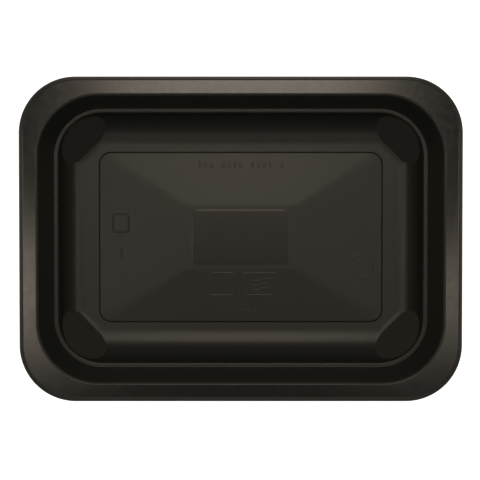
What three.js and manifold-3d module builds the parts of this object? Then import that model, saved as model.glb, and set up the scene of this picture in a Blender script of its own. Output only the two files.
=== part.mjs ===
// Heat-sealable ready-meal tray, thermoformed in one piece from black polypropylene sheet.
// Millimetres, +Z up. The origin is at the middle of the base, on the surface that the tray stands on.
//
// The tray is one sheet of even thickness. Its upper skin is a stack of rounded rectangles that run in
// from the trimmed edge: stepped-down lip, flat sealing flange, drafted upper wall, stacking ledge,
// lower wall, wide floor radius, the flat ring that it stands on, and a raised floor panel with a
// hipped crown. The short walls meet the floor in a tighter radius than the long ones, and four flat
// pads slope across the bottom corners.

import * as THREE from "three";
import { mergeVertices } from "three/addons/utils/BufferGeometryUtils.js";
import Module from "manifold-3d";

// Overall size
const LENGTH = 187;
const WIDTH = 137;
const HEIGHT = 36;
const SHEET = 0.5; // thickness of the formed sheet

// Rim: a narrow lip, stepped down from the flat flange and falling a little to the trimmed edge
const RIM_CORNER = 23.8; // corner radius of the trimmed edge
const LIP_WIDTH = 1.15;
const LIP_FALL = 0.15;
const LIP_STEP = 0.6;
const FLANGE_WIDTH = 6.5; // from the step to where the upper wall would meet the flange
const WELL_CORNER = 25.4; // corner radius of the opening, larger than the rim's

// Walls and stacking ledge
const UPPER_DRAFT = 12; // degrees from vertical, as the other drafts are
const LEDGE_HEIGHT = 16; // above the standing surface
const LEDGE_WIDTH = 1.95;
const LOWER_DRAFT = 6;

// Floor
const END_FLOOR_BEND = 9; // radius where the short walls run into the floor
const SIDE_FLOOR_BEND = 13; // radius where the long walls run into the floor
const END_RING = 6.4; // flat that the tray stands on, between a short wall's radius and the panel
const SIDE_RING = 3.0; // the same along the long walls

// Raised floor panel
const PANEL_RISE = 0.9;
const PANEL_CORNER = 5.6;
const STEP_DRAFT = 26; // of the panel's step and the lip's

// Hipped crown on the panel, and the low table in its middle
const CROWN_LENGTH = 50.4;
const CROWN_WIDTH = 28.8;
const CROWN_CORNER = 1.2;
const CROWN_RISE = 1.5;
const TABLE_LENGTH = 43.8;
const TABLE_WIDTH = 24.8;
const TABLE_CORNER = 3.4;
const TABLE_RISE = 0.3;
const TABLE_SLOPE = 0.7; // run of the sloping edge of the table

// Flat pads across the bottom corners
const PAD_SLOPE = 50; // degrees from the floor
const PAD_FROM_PANEL = 5.4; // flat left between the panel's corner and a pad's foot

// Inside radii of the bends in the sheet; the outside of a bend is larger by the sheet's thickness
const TIGHT_BEND = 0.15;
const LEDGE_BEND = 0.35;
const FLANGE_BEND = 0.7;

// Facets
const CORNER_STEPS = 12;
const BEND_STEPS = 3;
const FLOOR_BEND_STEPS = 10;

const CLEAR = 5; // how far the cutting solids stand past the tray
const radians = THREE.MathUtils.degToRad;
const QUARTER = Math.PI / 2;
const DIAGONALS = [
  [1, 1],
  [-1, 1],
  [-1, -1],
  [1, -1],
];

const wasm = await Module();
wasm.setup();

// Bends a corner of the wall's section to its inside radius, or to what the straights beside it allow.
// Each point carries the normal that leads through the sheet to the underside.
function bend(before, corner, after) {
  const arriving = corner.place.clone().sub(before.place);
  const leaving = after.place.clone().sub(corner.place);
  const room = Math.min(arriving.length(), leaving.length()) / 2;
  arriving.normalize();
  leaving.normalize();
  const turn = Math.atan2(arriving.cross(leaving), arriving.dot(leaving));
  const hollow = Math.sign(turn);
  const wanted = hollow > 0 ? corner.bend : corner.bend + SHEET;
  const tangent = Math.min(wanted * Math.tan(Math.abs(turn) / 2), room);
  const radius = tangent / Math.tan(Math.abs(turn) / 2);
  const start = corner.place.clone().addScaledVector(arriving, -tangent);
  const side = new THREE.Vector2(-arriving.y, arriving.x).multiplyScalar(hollow);
  const centre = start.clone().addScaledVector(side, radius);
  const first = Math.atan2(-side.y, -side.x);
  const arc = new THREE.EllipseCurve(centre.x, centre.y, radius, radius, first, first + turn, turn < 0);
  return arc.getPoints(corner.steps ?? BEND_STEPS).map((point) => {
    const through = point.clone().sub(centre).normalize().multiplyScalar(hollow);
    return { point, through, round: corner.round };
  });
}

// Upper skin of a wall's section, drawn as (inset from the trimmed edge, height), from the edge in to
// the top of the panel's step. The round of a point is the inset of its corner's centre in plan, so
// the rim, the well and the panel each keep a corner centre of their own.
function wallSection(floorBend, ringWidth) {
  const floor = SHEET;
  const lipTop = HEIGHT - LIP_STEP;
  const stepRun = Math.tan(radians(STEP_DRAFT));
  const flangeStart = LIP_WIDTH + LIP_STEP * stepRun;
  const flangeEnd = flangeStart + FLANGE_WIDTH;
  const ledgeRoot = flangeEnd + (HEIGHT - LEDGE_HEIGHT) * Math.tan(radians(UPPER_DRAFT));
  const ledgeNose = ledgeRoot + LEDGE_WIDTH;
  const floorCorner = ledgeNose + (LEDGE_HEIGHT - floor) * Math.tan(radians(LOWER_DRAFT));
  const ringStart = floorCorner + floorBend * Math.tan(radians((90 - LOWER_DRAFT) / 2));
  const panelFoot = ringStart + ringWidth;
  const panelTop = panelFoot + PANEL_RISE * stepRun;
  const rim = RIM_CORNER;
  const well = flangeEnd + WELL_CORNER;
  const panel = panelFoot + PANEL_CORNER;
  const corners = [
    { at: [0, lipTop - LIP_FALL], round: rim },
    { at: [LIP_WIDTH, lipTop], round: rim, bend: TIGHT_BEND },
    { at: [flangeStart, HEIGHT], round: rim, bend: TIGHT_BEND },
    { at: [flangeEnd, HEIGHT], round: well, bend: FLANGE_BEND },
    { at: [ledgeRoot, LEDGE_HEIGHT], round: well, bend: LEDGE_BEND },
    { at: [ledgeNose, LEDGE_HEIGHT], round: well, bend: LEDGE_BEND },
    { at: [floorCorner, floor], round: well, bend: floorBend, steps: FLOOR_BEND_STEPS },
    { at: [panelFoot, floor], round: panel, bend: TIGHT_BEND },
    { at: [panelTop, floor + PANEL_RISE], round: panel, bend: TIGHT_BEND },
    { at: [panel, floor + PANEL_RISE], round: panel },
  ];
  for (const corner of corners) {
    corner.place = new THREE.Vector2(...corner.at);
  }
  const bends = corners.slice(1, -1).flatMap((corner, i) => bend(corners[i], corner, corners[i + 2]));
  const edge = { point: corners[0].place, through: new THREE.Vector2(0, -1), round: rim };
  return { points: [edge, ...bends], panelRound: panel };
}

const endSection = wallSection(END_FLOOR_BEND, END_RING);
const sideSection = wallSection(SIDE_FLOOR_BEND, SIDE_RING);

// A rounded rectangle, anticlockwise seen from above. The end and the side each give their reach from
// the middle, the corner's radius along it and their height, and the corner passes from one to the
// other.
function station(end, side) {
  return DIAGONALS.flatMap(([signX, signY], quarter) => {
    const first = quarter * QUARTER;
    const centreX = signX * (end.reach - end.radius);
    const centreY = signY * (side.reach - side.radius);
    const arc = new THREE.EllipseCurve(
      centreX, centreY, end.radius, side.radius, first, first + QUARTER,
    );
    return arc.getPoints(CORNER_STEPS).map((point, i) => {
      const share = Math.sin(first + (i / CORNER_STEPS) * QUARTER) ** 2;
      return new THREE.Vector3(point.x, point.y, THREE.MathUtils.lerp(end.z, side.z, share));
    });
  });
}

// Half of a wall's station, from a point of its section. Depth is 0 on the upper skin and the sheet's
// thickness on the underside, which keeps the same corner centre, so the sheet is even round a corner.
function reachOf({ point, through, round }, span, depth) {
  const inset = point.x + depth * through.x;
  return { reach: span / 2 - inset, radius: round - inset, z: point.y + depth * through.y };
}

function wallStations(depth) {
  return endSection.points.map((endPoint, i) => station(
    reachOf(endPoint, LENGTH, depth),
    reachOf(sideSection.points[i], WIDTH, depth),
  ));
}

function levelStation(length, width, radius, z) {
  return station({ reach: length / 2, radius, z }, { reach: width / 2, radius, z });
}

// Stations of the panel's hipped crown and its low table.
function crownStations(depth) {
  const crownTop = SHEET + PANEL_RISE + CROWN_RISE - depth;
  const inward = 2 * TABLE_SLOPE;
  return [
    levelStation(CROWN_LENGTH, CROWN_WIDTH, CROWN_CORNER, crownTop),
    levelStation(TABLE_LENGTH, TABLE_WIDTH, TABLE_CORNER, crownTop),
    levelStation(
      TABLE_LENGTH - inward, TABLE_WIDTH - inward, TABLE_CORNER - TABLE_SLOPE, crownTop + TABLE_RISE,
    ),
  ];
}

// A mesh geometry as a solid with shared vertices.
function solidFrom(geometry) {
  const bare = geometry.clone();
  bare.deleteAttribute("normal");
  bare.deleteAttribute("uv");
  const merged = mergeVertices(bare, 1e-4);
  return new wasm.Manifold(new wasm.Mesh({
    numProp: 3,
    vertProperties: merged.attributes.position.array,
    triVerts: new Uint32Array(merged.index.array),
  }));
}

// Closes a stack of stations, given from the top down, into one solid.
function loft(stations) {
  const count = stations[0].length;
  const vertices = stations.flat();
  const faces = [];
  for (let row = 0; row < stations.length - 1; row += 1) {
    for (let i = 0; i < count; i += 1) {
      const next = (i + 1) % count;
      const here = row * count;
      const below = here + count;
      faces.push(here + i, below + i, below + next, here + i, below + next, here + next);
    }
  }
  const ends = [[0, true], [stations.length - 1, false]];
  for (const [row, facesUp] of ends) {
    const hub = vertices.push(new THREE.Vector3(0, 0, stations[row][0].z)) - 1;
    for (let i = 0; i < count; i += 1) {
      const here = row * count + i;
      const next = row * count + ((i + 1) % count);
      faces.push(hub, facesUp ? here : next, facesUp ? next : here);
    }
  }
  const geometry = new THREE.BufferGeometry().setFromPoints(vertices);
  geometry.setIndex(faces);
  return solidFrom(geometry);
}

// What lies under a corner pad: a block whose upper face is the pad's plane, cut off level with the
// ledge. The pad's foot stands off the panel's corner, on the corner's diagonal.
function underPad(signX, signY, depth) {
  const size = LENGTH;
  const slope = radians(PAD_SLOPE);
  const block = new THREE.BoxGeometry(size, size, size).translate(size / 2, 0, -size / 2);
  block.rotateY(-slope);
  block.translate(0, 0, -depth / Math.cos(slope));
  block.rotateZ(Math.atan2(signY, signX));
  const out = (PANEL_CORNER + PAD_FROM_PANEL) * Math.SQRT1_2;
  const footX = LENGTH / 2 - endSection.panelRound + out;
  const footY = WIDTH / 2 - sideSection.panelRound + out;
  block.translate(signX * footX, signY * footY, SHEET);
  const belowLedge = new THREE.BoxGeometry(2 * size, 2 * size, LEDGE_HEIGHT);
  belowLedge.translate(0, 0, LEDGE_HEIGHT / 2 - depth);
  return solidFrom(block).intersect(solidFrom(belowLedge));
}

// The space over one skin of the sheet, with the four corner pads taken off it.
function spaceOver(stations, depth) {
  let space = loft(stations);
  for (const [signX, signY] of DIAGONALS) {
    space = space.subtract(underPad(signX, signY, depth));
  }
  return space;
}

// The tray: the space over its underside less the space over its upper skin. The cavity stands past
// the trimmed edge, so the edge is one upright cut.
function makeTray() {
  const top = HEIGHT + CLEAR;
  const upper = wallStations(0);
  const under = wallStations(SHEET);
  const wide = [LENGTH + 2 * CLEAR, WIDTH + 2 * CLEAR, RIM_CORNER + CLEAR];
  const cavity = spaceOver([
    levelStation(...wide, top),
    levelStation(...wide, upper[0][0].z),
    ...upper,
    ...crownStations(0),
  ], 0);
  const body = spaceOver([
    levelStation(LENGTH, WIDTH, RIM_CORNER, top),
    ...under,
    ...crownStations(SHEET),
  ], SHEET);
  return body.subtract(cavity);
}

// A solid as a three.js geometry.
function geometryOf(solid) {
  const mesh = solid.getMesh();
  const geometry = new THREE.BufferGeometry();
  geometry.setAttribute("position", new THREE.BufferAttribute(mesh.vertProperties, 3));
  geometry.setIndex(new THREE.BufferAttribute(mesh.triVerts, 1));
  const flat = geometry.toNonIndexed();
  flat.computeVertexNormals();
  return flat;
}

// Black polypropylene, satin from the mould
const polypropylene = new THREE.MeshStandardMaterial({
  color: 0x1c1b19,
  roughness: 0.42,
  metalness: 0,
});

const tray = new THREE.Mesh(geometryOf(makeTray()), polypropylene);
tray.name = "tray";

const part = new THREE.Group();
part.name = "heat_sealable_tray";
part.add(tray);

export default part;
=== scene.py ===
import math

import bmesh
import bpy
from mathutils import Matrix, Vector


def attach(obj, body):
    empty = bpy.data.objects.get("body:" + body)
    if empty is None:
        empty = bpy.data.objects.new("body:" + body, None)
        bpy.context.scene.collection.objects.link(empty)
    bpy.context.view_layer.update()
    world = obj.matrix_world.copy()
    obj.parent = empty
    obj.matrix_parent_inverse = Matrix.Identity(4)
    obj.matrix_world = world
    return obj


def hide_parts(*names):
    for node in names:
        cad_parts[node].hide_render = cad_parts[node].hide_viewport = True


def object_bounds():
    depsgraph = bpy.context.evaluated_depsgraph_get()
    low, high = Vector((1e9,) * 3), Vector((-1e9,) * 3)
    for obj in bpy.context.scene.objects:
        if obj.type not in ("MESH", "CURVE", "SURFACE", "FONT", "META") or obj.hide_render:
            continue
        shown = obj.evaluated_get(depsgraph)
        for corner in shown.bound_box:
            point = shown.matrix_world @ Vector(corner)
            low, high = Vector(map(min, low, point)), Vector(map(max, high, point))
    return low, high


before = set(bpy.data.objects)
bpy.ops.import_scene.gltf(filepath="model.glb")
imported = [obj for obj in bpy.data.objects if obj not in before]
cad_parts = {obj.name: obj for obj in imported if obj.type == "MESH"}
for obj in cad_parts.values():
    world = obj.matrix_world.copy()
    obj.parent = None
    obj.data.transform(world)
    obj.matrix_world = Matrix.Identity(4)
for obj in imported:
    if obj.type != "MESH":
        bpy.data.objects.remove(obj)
cad_low, cad_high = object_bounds()
scene = bpy.context.scene
MM = 0.001


# Table: a plain pale surface that the tray stands on, white to the camera and wherever the plastic
# mirrors it, and grey to everything else so that it throws little light back.

def linear(hex_colour):
    """An sRGB hex colour as linear RGBA."""
    channels = [int(hex_colour[i:i + 2], 16) / 255 for i in (1, 3, 5)]
    return [c / 12.92 if c <= 0.04045 else ((c + 0.055) / 1.055) ** 2.4 for c in channels] + [1.0]


def add(tree, kind, links=(), **settings):
    """Adds a node, sets its properties and inputs by name, and links its inputs to other outputs."""
    node = tree.nodes.new(kind)
    for name, value in settings.items():
        if name.startswith("in_"):
            node.inputs[name[3:].replace("_", " ")].default_value = value
        else:
            setattr(node, name, value)
    for name, output in dict(links).items():
        tree.links.new(output, node.inputs[name])
    return node


table_paper = bpy.data.materials.new("matt_white_paper")
table_paper.use_nodes = True
tree = table_paper.node_tree
tree.nodes.clear()
# The diffuse part takes the tray's shadow. The glow on top of it lifts the paper to white where it is
# seen or mirrored, and doesn't otherwise light the tray.
ray = add(tree, "ShaderNodeLightPath")
seen = add(tree, "ShaderNodeMath", {0: ray.outputs["Is Camera Ray"], 1: ray.outputs["Is Glossy Ray"]},
           operation="MAXIMUM")
seen = add(tree, "ShaderNodeMath", {0: seen.outputs[0], 1: ray.outputs["Is Transmission Ray"]},
           operation="MAXIMUM")
paper = add(tree, "ShaderNodeBsdfDiffuse", in_Color=linear("#d8d8d6"))
glow = add(tree, "ShaderNodeEmission", in_Color=linear("#ffffff"), in_Strength=0.95)
both = add(tree, "ShaderNodeAddShader", {0: paper.outputs[0], 1: glow.outputs[0]})
mixed = add(tree, "ShaderNodeMixShader", {0: seen.outputs[0], 1: paper.outputs[0], 2: both.outputs[0]})
add(tree, "ShaderNodeOutputMaterial", {"Surface": mixed.outputs[0]})

bpy.ops.object.select_all(action="DESELECT")
bpy.ops.mesh.primitive_plane_add(size=4.0, location=(0, 0, 0))
table_top = bpy.context.object
table_top.name = "table_top"
table_top.data.materials.append(table_paper)


# Camera: 600 mm above the rim, a little to the +Y side of the middle and turned to the rim's middle, so
# the floor of the tray sits slightly high in the picture. The picture's scale and middle are pixels.
RIM_TOP = cad_high.z
CAMERA_HEIGHT = RIM_TOP + 600 * MM
CAMERA_OFF = 17 * MM
PIXELS_PER_MM = 2.374
PICTURE = 480
MIDDLE_X = 240.8
MIDDLE_Y = 239.4
SENSOR = 36

camera_data = bpy.data.cameras.new("camera")
camera = bpy.data.objects.new("camera", camera_data)
scene.collection.objects.link(camera)
scene.camera = camera
camera_data.sensor_width = SENSOR
rim_distance = math.hypot(CAMERA_HEIGHT - RIM_TOP, CAMERA_OFF)
camera_data.lens = SENSOR * rim_distance * PIXELS_PER_MM / (PICTURE * MM)
camera.location = (0, CAMERA_OFF, CAMERA_HEIGHT)
camera.rotation_euler = (-math.atan2(CAMERA_OFF, CAMERA_HEIGHT - RIM_TOP), 0, 0)
camera_data.shift_x = (PICTURE / 2 - MIDDLE_X) / PICTURE
camera_data.shift_y = (MIDDLE_Y - PICTURE / 2) / PICTURE


# Light: flat softboxes in one plane above the tray. The middle, where the camera hangs, is left dark.
# The surround is white where it is seen and a dim grey in what the plastic mirrors, because the
# photographed plastic mirrors a dark room between its lamps.
SURROUND = 0.09
LIGHT_HEIGHT = 1.2
LIGHT_COLOUR = "#ffeeda"

world = bpy.data.worlds.new("studio")
scene.world = world
world.use_nodes = True
tree = world.node_tree
ray = add(tree, "ShaderNodeLightPath")
seen = add(tree, "ShaderNodeMath", {0: ray.outputs["Is Camera Ray"], 1: ray.outputs["Is Transmission Ray"]},
           operation="MAXIMUM")
surround = add(tree, "ShaderNodeMapRange", {"Value": seen.outputs[0]}, in_To_Min=SURROUND, in_To_Max=1.0)
tree.links.new(surround.outputs["Result"], tree.nodes["Background"].inputs["Strength"])
tree.nodes["Background"].inputs["Color"].default_value = linear("#ffffff")


def softbox(name, left, right, near, far, radiance):
    """A lamp facing down, from left to right in X and near to far in Y, in metres, evenly bright."""
    data = bpy.data.lights.new(name, "AREA")
    data.shape = "RECTANGLE"
    data.size = right - left
    data.size_y = far - near
    data.color = linear(LIGHT_COLOUR)[:3]
    data.energy = radiance * data.size * data.size_y * math.pi
    lamp = bpy.data.objects.new(name, data)
    scene.collection.objects.link(lamp)
    lamp.location = ((left + right) / 2, (near + far) / 2, RIM_TOP + LIGHT_HEIGHT)


# Past the far side: the bright top flange and the far half of the panel, and higher up the highlight
# along the bend at the near wall.
softbox("far_softbox", -0.17, 0.17, 0.08, 0.60, 4.9)
softbox("high_far_softbox", -0.20, 0.20, 0.60, 1.15, 5.6)
# Past the two ends: the bright stretch of each end's flange, and higher up the bends at the end walls.
softbox("left_softbox", -0.45, -0.22, -0.172, -0.03, 4.8)
softbox("high_left_softbox", -1.15, -0.48, -0.12, 0.12, 4.4)
softbox("right_softbox", 0.18, 0.45, -0.155, -0.05, 3.3)
softbox("high_right_softbox", 0.48, 1.15, -0.12, 0.12, 4.4)
# Past the near side: a dim one, for the long bend at the far wall.
softbox("near_softbox", -0.35, 0.35, -1.30, -0.42, 1.0)


# Tray: one sheet of black polypropylene, heated, drawn into a mould and trimmed. The rim, the well, the
# floor panel and its table are each pressed from a rounded sheet, ring by ring along the wall's section,
# and then joined across the flats between them and given the sheet's thickness. Sizes are millimetres
# and degrees.
SHEET = 0.5
RIM_CORNER = 23.8
LIP_WIDTH = 1.15
LIP_FALL = 0.15
LIP_STEP = 0.6
FLANGE_WIDTH = 6.5
WELL_CORNER = 25.4
UPPER_DRAFT = 12
LEDGE_HEIGHT = 16
LEDGE_WIDTH = 1.95
LOWER_DRAFT = 6
END_FLOOR_BEND = 9
SIDE_FLOOR_BEND = 13
END_RING = 6.4
SIDE_RING = 3.0
PANEL_RISE = 0.9
PANEL_CORNER = 5.6
STEP_DRAFT = 26
CROWN_LENGTH = 50.4
CROWN_WIDTH = 28.8
CROWN_RISE = 1.5
SHOULDER = 1.15
SHOULDER_STEPS = 8
TABLE_LENGTH = 43.8
TABLE_WIDTH = 24.8
TABLE_CORNER = 3.4
TABLE_RISE = 0.15
TABLE_EDGE = 1.0
TABLE_STEPS = 10
PAD_SLOPE = 50
PAD_FROM_PANEL = 5.4
PAD_RIM = 0.9
PAD_ROOM = 3.0
PAD_CEILING = 15.4
TIGHT_BEND = 0.15
LEDGE_BEND = 0.35
FLANGE_BEND = 0.7
CORNER_STEPS = 28
TOUCH = 0.01

length = (cad_high.x - cad_low.x) / MM
width = (cad_high.y - cad_low.y) / MM
height = cad_high.z / MM
floor = SHEET
lip_top = height - LIP_STEP
step_run = math.tan(math.radians(STEP_DRAFT))
flange_start = LIP_WIDTH + LIP_STEP * step_run
flange_end = flange_start + FLANGE_WIDTH
well_centre = flange_end + WELL_CORNER
ledge_root = flange_end + (height - LEDGE_HEIGHT) * math.tan(math.radians(UPPER_DRAFT))
ledge_nose = ledge_root + LEDGE_WIDTH
floor_corner = ledge_nose + (LEDGE_HEIGHT - floor) * math.tan(math.radians(LOWER_DRAFT))
half_turn = math.tan(math.radians((90 - LOWER_DRAFT) / 2))
side_ring_start = floor_corner + SIDE_FLOOR_BEND * half_turn
end_ring_start = floor_corner + END_FLOOR_BEND * half_turn
side_panel_foot = side_ring_start + SIDE_RING
end_panel_foot = end_ring_start + END_RING
crown_top = floor + PANEL_RISE + CROWN_RISE


def bend(before, corner, after, inside_radius, steps):
    """Points round a bend of the section; the outside of a bend is larger by the sheet's thickness."""
    before, corner, after = Vector(before), Vector(corner), Vector(after)
    arriving = (corner - before).normalized()
    leaving = (after - corner).normalized()
    turn = math.atan2(arriving.cross(leaving), arriving.dot(leaving))
    radius = inside_radius if turn > 0 else inside_radius + SHEET
    tangent = radius * math.tan(abs(turn) / 2)
    start = corner - arriving * tangent
    centre = start + Vector((-arriving.y, arriving.x)) * math.copysign(radius, turn)
    spoke = start - centre
    points = []
    for i in range(steps + 1):
        angle = turn * i / steps
        points.append(centre + Vector((
            spoke.x * math.cos(angle) - spoke.y * math.sin(angle),
            spoke.x * math.sin(angle) + spoke.y * math.cos(angle),
        )))
    return points


def select_only(kind, test):
    """In edit mode, selects only the vertices, edges or faces that pass a test."""
    bpy.ops.mesh.select_mode(type={"verts": "VERT", "edges": "EDGE", "faces": "FACE"}[kind])
    bpy.ops.mesh.select_all(action="DESELECT")
    mesh = bmesh.from_edit_mesh(bpy.context.object.data)
    for element in getattr(mesh, kind):
        if test(element):
            element.select_set(True)
    mesh.select_flush_mode()
    bmesh.update_edit_mesh(bpy.context.object.data)


def start_sheet(half_length, half_width, corner, z):
    """A flat sheet with round corners, left in edit mode with its one face selected."""
    bpy.ops.object.select_all(action="DESELECT")
    bpy.ops.mesh.primitive_plane_add(size=2, location=(0, 0, 0))
    bpy.ops.object.mode_set(mode="EDIT")
    bpy.ops.mesh.select_all(action="SELECT")
    bpy.ops.transform.resize(value=(half_length * MM, half_width * MM, 1))
    bpy.ops.transform.translate(value=(0, 0, z * MM))
    bpy.ops.mesh.bevel(offset=corner * MM, segments=CORNER_STEPS, affect="VERTICES")
    select_only("faces", lambda face: True)


def press_along(points):
    """Sets the selected face in and down along a list of (inset, height) points."""
    for here, after in zip(points, points[1:]):
        bpy.ops.mesh.inset(thickness=(after[0] - here[0]) * MM)
        bpy.ops.transform.translate(value=(0, 0, (after[1] - here[1]) * MM))


def end_inset(side_inset, z):
    """Inset of the short wall at a height of the long wall: its bend into the floor is tighter."""
    rise = z - floor
    if rise >= END_FLOOR_BEND * (1 - math.sin(math.radians(LOWER_DRAFT))):
        return ledge_nose + (LEDGE_HEIGHT - z) * math.tan(math.radians(LOWER_DRAFT))
    if rise > 1e-6:
        return end_ring_start - math.sqrt(END_FLOOR_BEND ** 2 - (END_FLOOR_BEND - rise) ** 2)
    return end_ring_start + side_inset - side_ring_start


def stretch_ends(factor):
    """Stretches both ends of the newest ring along X, each about the centres of its round corners."""
    centre = (length / 2 - well_centre) * MM
    mesh = bmesh.from_edit_mesh(bpy.context.object.data)
    inner = max(mesh.faces, key=lambda face: len(face.verts))
    for side in (1, -1):
        ring = {v.index for v in inner.verts if v.co.x * side > centre - 1e-7}
        select_only("verts", lambda vertex: vertex.index in ring)
        bpy.ops.transform.resize(value=(factor, 1, 1), center_override=(side * centre, 0, 0))
    select_only("faces", lambda face: len(face.verts) > 4)


edge = (0, lip_top - LIP_FALL)
lip = (LIP_WIDTH, lip_top)
flange_out = (flange_start, height)
flange_in = (flange_end, height)
root = (ledge_root, LEDGE_HEIGHT)
nose = (ledge_nose, LEDGE_HEIGHT)
floor_meet = (floor_corner, floor)
foot = (side_panel_foot, floor)
panel_edge = (side_panel_foot + PANEL_RISE * step_run, floor + PANEL_RISE)

# Rim, from the trimmed edge up the small step to the flange.
rim_points = [Vector(edge)]
rim_points += bend(edge, lip, flange_out, TIGHT_BEND, 3)
rim_points += bend(lip, flange_out, flange_in, TIGHT_BEND, 4)
start_sheet(length / 2, width / 2, RIM_CORNER, edge[1])
press_along(rim_points)
bpy.ops.mesh.delete(type="ONLY_FACE")
bpy.ops.object.mode_set(mode="OBJECT")
tray = bpy.context.object
tray.name = "formed_tray"

# Well, from the flange's inner bend down past the ledge to the flat ring that the tray stands on.
well_points = bend(flange_out, flange_in, root, FLANGE_BEND, 8)
well_points += bend(flange_in, root, nose, LEDGE_BEND, 5)
well_points += bend(root, nose, floor_meet, LEDGE_BEND, 6)
well_start = well_points[0]
start_sheet(
    length / 2 - well_start.x, width / 2 - well_start.x, well_centre - well_start.x, well_start.y)
press_along(well_points)
here = well_points[-1]
end_radius = well_centre - here.x
for after in bend(nose, floor_meet, foot, SIDE_FLOOR_BEND, 26):
    press_along([here, after])
    pressed = end_radius - (after.x - here.x)
    end_radius = well_centre - end_inset(after.x, after.y)
    stretch_ends(end_radius / pressed)
    here = after
bpy.ops.mesh.delete(type="ONLY_FACE")
bpy.ops.object.mode_set(mode="OBJECT")
well = bpy.context.object

# Floor panel: its steep edge up from the ring, then four long slopes up to the crown's soft shoulder.
level_past_edge = (panel_edge[0] + PANEL_CORNER, panel_edge[1])
panel_points = bend(floor_meet, foot, panel_edge, TIGHT_BEND, 3)
panel_points += bend(foot, panel_edge, level_past_edge, TIGHT_BEND, 4)
foot_start = panel_points[0].x
panel_reach = length / 2 - end_panel_foot + side_panel_foot
start_sheet(
    panel_reach - foot_start, width / 2 - foot_start, side_panel_foot + PANEL_CORNER - foot_start, floor)
press_along(panel_points)
top_x = panel_reach - panel_points[-1].x
top_y = width / 2 - panel_points[-1].x
slope_run = top_y - CROWN_WIDTH / 2
here_x, here_y, level = top_x, top_y, floor + PANEL_RISE
for i in range(SHOULDER_STEPS + 1):
    out = SHOULDER * (1 - 2 * i / SHOULDER_STEPS)
    next_x = CROWN_LENGTH / 2 + out * (top_x - CROWN_LENGTH / 2) / slope_run
    next_y = CROWN_WIDTH / 2 + out
    next_level = crown_top - SHOULDER * CROWN_RISE / slope_run * (1 - i / SHOULDER_STEPS) ** 2
    bpy.ops.mesh.extrude_region_move(TRANSFORM_OT_translate={"value": (0, 0, (next_level - level) * MM)})
    bpy.ops.transform.resize(value=(next_x / here_x, next_y / here_y, 1), center_override=(0, 0, 0))
    here_x, here_y, level = next_x, next_y, next_level
bpy.ops.mesh.delete(type="ONLY_FACE")
bpy.ops.object.mode_set(mode="OBJECT")
panel = bpy.context.object

# Table in the middle of the crown: low, with a soft edge that rises as half a cosine wave.
reach_out = TABLE_EDGE / 4
start_sheet(
    TABLE_LENGTH / 2 + reach_out, TABLE_WIDTH / 2 + reach_out, TABLE_CORNER + reach_out, crown_top)
press_along([
    (
        TABLE_EDGE * i / TABLE_STEPS,
        crown_top + TABLE_RISE * (1 - math.cos(math.pi * min(i, TABLE_STEPS) / TABLE_STEPS)) / 2,
    )
    for i in range(TABLE_STEPS + 3)
])
bpy.ops.object.mode_set(mode="OBJECT")

# The four pressings become one sheet: each flat between two of them is bridged at its own height.
bpy.ops.object.select_all(action="DESELECT")
for pressing in (bpy.context.object, panel, well, tray):
    pressing.select_set(True)
bpy.context.view_layer.objects.active = tray
bpy.ops.object.join()
bpy.ops.object.mode_set(mode="EDIT")
for level in (height, floor, crown_top):
    select_only("edges", lambda side: side.is_boundary and all(
        abs(vertex.co.z - level * MM) < TOUCH * MM for vertex in side.verts))
    bpy.ops.mesh.bridge_edge_loops()


# Corner pads: a plane cuts off each bottom corner of the well and closes it flat, and two flatter ones
# round the pad's foot. The long strips are parted beside the pads first.
def cut_well(place, normal, **closing):
    """Cuts the well below the ledge with a plane, given in millimetres."""
    select_only("faces", lambda face: all(vertex.co.z < PAD_CEILING * MM for vertex in face.verts))
    place = [value * MM for value in place]
    bpy.ops.mesh.bisect(plane_co=place, plane_no=normal, threshold=1e-6, **closing)


for sign in (1, -1):
    cut_well((sign * (length / 2 - well_centre - PAD_ROOM), 0, 0), (1, 0, 0))
    cut_well((0, sign * (width / 2 - well_centre - PAD_ROOM), 0), (0, 1, 0))
for side_x, side_y in ((1, 1), (-1, 1), (-1, -1), (1, -1)):
    for slope, back in ((PAD_SLOPE, 0), (PAD_SLOPE * 0.6, PAD_RIM / 3), (PAD_SLOPE * 0.24, PAD_RIM)):
        out = (PANEL_CORNER + PAD_FROM_PANEL - back) * math.sqrt(0.5)
        foot_x = side_x * (length / 2 - end_panel_foot - PANEL_CORNER + out)
        foot_y = side_y * (width / 2 - side_panel_foot - PANEL_CORNER + out)
        lean = math.sin(math.radians(slope)) * math.sqrt(0.5)
        normal = (-side_x * lean, -side_y * lean, math.cos(math.radians(slope)))
        cut_well((foot_x, foot_y, floor), normal, use_fill=True, clear_inner=True)
    cut_well((foot_x - side_x * PAD_RIM, foot_y - side_y * PAD_RIM, floor), (side_x, side_y, 0))
bpy.ops.object.mode_set(mode="OBJECT")

sheet = tray.modifiers.new("sheet_thickness", "SOLIDIFY")
sheet.thickness = SHEET * MM
sheet.offset = -1
sheet.use_even_offset = True
bpy.ops.object.modifier_apply(modifier=sheet.name)

# Marks on the floor panel: outlines and strokes that the mould leaves in low relief. They are drawn
# lying above the tray, raised a little with sloping sides, and then laid on the panel's slopes. Their
# sizes and places are millimetres.
MARK_LIFT = 60
MARK_LINE = 0.8
MARK_SIDE = 0.22
MARK_HEIGHT = 0.09
MARK_ROOT = 0.15
WAVE_LENGTH = 8.5
WAVE_LINE = 0.7
WAVE_RISE = 0.6
WAVE_PARTS = 18
BAR_LENGTH = 2.8
mark_floor = (height + MARK_LIFT) / 2


def is_mark(face):
    """Whether a face belongs to the mark that is being drawn above the tray."""
    return face.calc_center_median().z > mark_floor * MM


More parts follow.
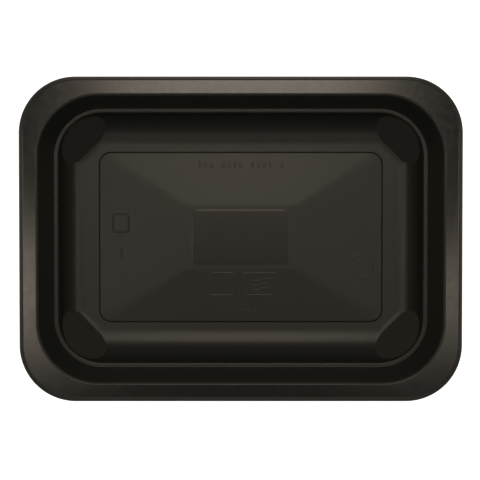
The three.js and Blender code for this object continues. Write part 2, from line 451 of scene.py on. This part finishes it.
def draw_plate(x, across, along, corner):
    """A rectangular plate with round corners, in the plane where marks are drawn."""
    bpy.ops.mesh.select_mode(type="VERT")
    bpy.ops.mesh.select_all(action="DESELECT")
    bpy.ops.mesh.primitive_plane_add(size=1, location=(x * MM, 0, MARK_LIFT * MM))
    bpy.ops.transform.resize(value=(across * MM, along * MM, 1))
    if corner:
        bpy.ops.mesh.bevel(offset=corner * MM, segments=4, affect="VERTICES")


def open_plate():
    """Leaves only the outline of the plate that was drawn last."""
    select_only("faces", is_mark)
    bpy.ops.mesh.inset(thickness=MARK_LINE * MM)
    bpy.ops.mesh.delete(type="ONLY_FACE")


def lay_mark(x, y, lift=MARK_HEIGHT):
    """Raises the drawn mark and lays it on the panel slope at a place."""
    select_only("faces", is_mark)
    bpy.ops.mesh.extrude_region_move(TRANSFORM_OT_translate={"value": (0, 0, MARK_ROOT * MM)})
    bpy.ops.mesh.inset(thickness=MARK_SIDE * MM, depth=lift * MM)
    select_only("faces", is_mark)
    on_end = abs(x) / top_x > abs(y) / top_y
    if on_end:
        fall = CROWN_RISE / (top_x - CROWN_LENGTH / 2)
        down = (abs(x) - CROWN_LENGTH / 2) * fall
        turn, axis = -math.copysign(math.atan(fall), x), "Y"
    else:
        fall = CROWN_RISE / slope_run
        down = (abs(y) - CROWN_WIDTH / 2) * fall
        turn, axis = math.copysign(math.atan(fall), y), "X"
    bpy.ops.transform.rotate(value=turn, orient_axis=axis, center_override=(0, 0, MARK_LIFT * MM))
    bpy.ops.transform.translate(value=(x * MM, y * MM, (crown_top - down - MARK_ROOT - MARK_LIFT) * MM))


bpy.ops.object.mode_set(mode="EDIT")

# Left: a square outline and a short stroke below it. Right: a triangle outline over a ring.
draw_plate(0, 7.8, 8.6, 1.6)
open_plate()
lay_mark(-53.4, 6.3, lift=3 * MARK_HEIGHT)
draw_plate(0, 1.1, 4.4, 0)
lay_mark(-53.2, -6.9, lift=2 * MARK_HEIGHT)
for corners, radius, place in ((3, 5.9, (54, 0)), (32, 5.8, (53.5, -13.3))):
    bpy.ops.mesh.select_all(action="DESELECT")
    bpy.ops.mesh.primitive_circle_add(
        vertices=corners, radius=radius * MM, fill_type="NGON", location=(0, 0, MARK_LIFT * MM))
    open_plate()
    lay_mark(*place)

# Near side: two framed fields, the right one with three waves.
draw_plate(0, 11.6, 10.8, 1.5)
open_plate()
lay_mark(-8.3, -20.9)
draw_plate(0, 15.7, 10.5, 0.6)
open_plate()
lay_mark(8.3, -20.9)
for wave_y in (-18.9, -21.0, -23.1):
    bpy.ops.mesh.select_all(action="DESELECT")
    bpy.ops.mesh.primitive_grid_add(
        x_subdivisions=WAVE_PARTS, y_subdivisions=1, size=1, location=(0, 0, MARK_LIFT * MM))
    bpy.ops.transform.resize(value=(WAVE_LENGTH * MM, WAVE_LINE * MM, 1))
    for i in range(WAVE_PARTS + 1):
        column = (i / WAVE_PARTS - 0.5) * WAVE_LENGTH
        select_only("verts", lambda vertex: (
            vertex.co.z > mark_floor * MM and abs(vertex.co.x - column * MM) < TOUCH * MM))
        swing = -WAVE_RISE * math.sin(2 * math.pi * i / WAVE_PARTS)
        bpy.ops.transform.translate(value=(0, swing * MM, 0))
    lay_mark(8.9, wave_y)

# A row of plain bars along each long edge of the panel, with gaps as between words.
for count, first_x, pitch, row_y in ((10, -10.2, 2.36, -33.5), (15, -18.2, 2.6, 32.2)):
    for i in range(count):
        if i % 5 != 3:
            draw_plate(first_x + i * pitch, 1.2 if i % 3 else 0.8, BAR_LENGTH, 0)
    lay_mark(0, row_y)
bpy.ops.object.mode_set(mode="OBJECT")

bpy.ops.object.shade_smooth_by_angle(angle=math.radians(30))
flats = tray.modifiers.new("flats_stay_flat", "WEIGHTED_NORMAL")
flats.keep_sharp = True
bpy.ops.object.modifier_apply(modifier=flats.name)

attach(tray, "root")
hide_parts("tray")


def formed_plastic(name, colour, specular, roughness, grain_mm, bump_mm):
    """Black polypropylene; the mould's grain varies its sheen and gives it a faint relief."""
    material = bpy.data.materials.new(name)
    material.use_nodes = True
    tree = material.node_tree
    shader = tree.nodes["Principled BSDF"]
    place = add(tree, "ShaderNodeTexCoord")
    grain = add(tree, "ShaderNodeTexNoise", {"Vector": place.outputs["Object"]},
                in_Scale=1 / (grain_mm * MM), in_Detail=2.0, in_Roughness=0.55)
    sheen = add(tree, "ShaderNodeMapRange", {"Value": grain.outputs["Fac"]},
                in_From_Min=0.3, in_From_Max=0.7, in_To_Min=roughness - 0.02, in_To_Max=roughness + 0.02)
    relief = add(tree, "ShaderNodeBump", {"Height": grain.outputs["Fac"]}, in_Strength=1.0,
                 in_Distance=bump_mm * MM)
    # The refraction is polypropylene's own; the roughness and the level were matched to the photo.
    shader.inputs["Base Color"].default_value = linear(colour)
    shader.inputs["IOR"].default_value = 1.49
    shader.inputs["Specular IOR Level"].default_value = specular
    tree.links.new(sheen.outputs[0], shader.inputs["Roughness"])
    tree.links.new(relief.outputs["Normal"], shader.inputs["Normal"])
    return material


# The real grain is finer than a pixel, so it is drawn coarser, to show as a faint mottle.
# The walls and floor: satin, as the blasted mould leaves them.
satin = formed_plastic("satin_black_polypropylene", "#252725", 0.27, 0.345, 0.9, 0.003)
# The table: smoother, so that the darker gap between the lights shows in it.
smooth = formed_plastic("smoother_table_polypropylene", "#242623", 0.28, 0.24, 0.9, 0.001)
# The flange: pressed flat by the sealing frame, so clearly glossier.
sealed = formed_plastic("glossy_flange_polypropylene", "#151715", 0.53, 0.17, 2.2, 0.002)
# The corner pads and the bends beside the flange: a coarser blast, even and matt.
matt = formed_plastic("matt_black_polypropylene", "#2a2c29", 0.34, 0.62, 0.5, 0.003)
for material in (satin, sealed, matt, smooth):
    tray.data.materials.append(material)

# In turn: the flange's top; the pads, whose faces have the most corners; the table's top; and the bends
# and steps of the uppermost 2 mm.
LEVEL = 0.97
bpy.ops.object.mode_set(mode="EDIT")
for slot, test in (
    (1, lambda face: face.normal.z > LEVEL and face.calc_center_median().z > (height - 0.1) * MM),
    (2, lambda face: len(face.verts) > 2 * CORNER_STEPS and abs(face.normal.z) < LEVEL),
    (3, lambda face: face.normal.z > LEVEL
     and face.calc_center_median().z > (crown_top + TABLE_RISE - TOUCH) * MM
     and all(abs(vertex.co.x) < TABLE_LENGTH / 2 * MM for vertex in face.verts)),
    (2, lambda face: face.calc_center_median().z > (height - 2) * MM and abs(face.normal.z) < LEVEL),
):
    select_only("faces", test)
    tray.active_material_index = slot
    bpy.ops.object.material_slot_assign()
bpy.ops.object.mode_set(mode="OBJECT")

scene.view_settings.view_transform = "Standard"
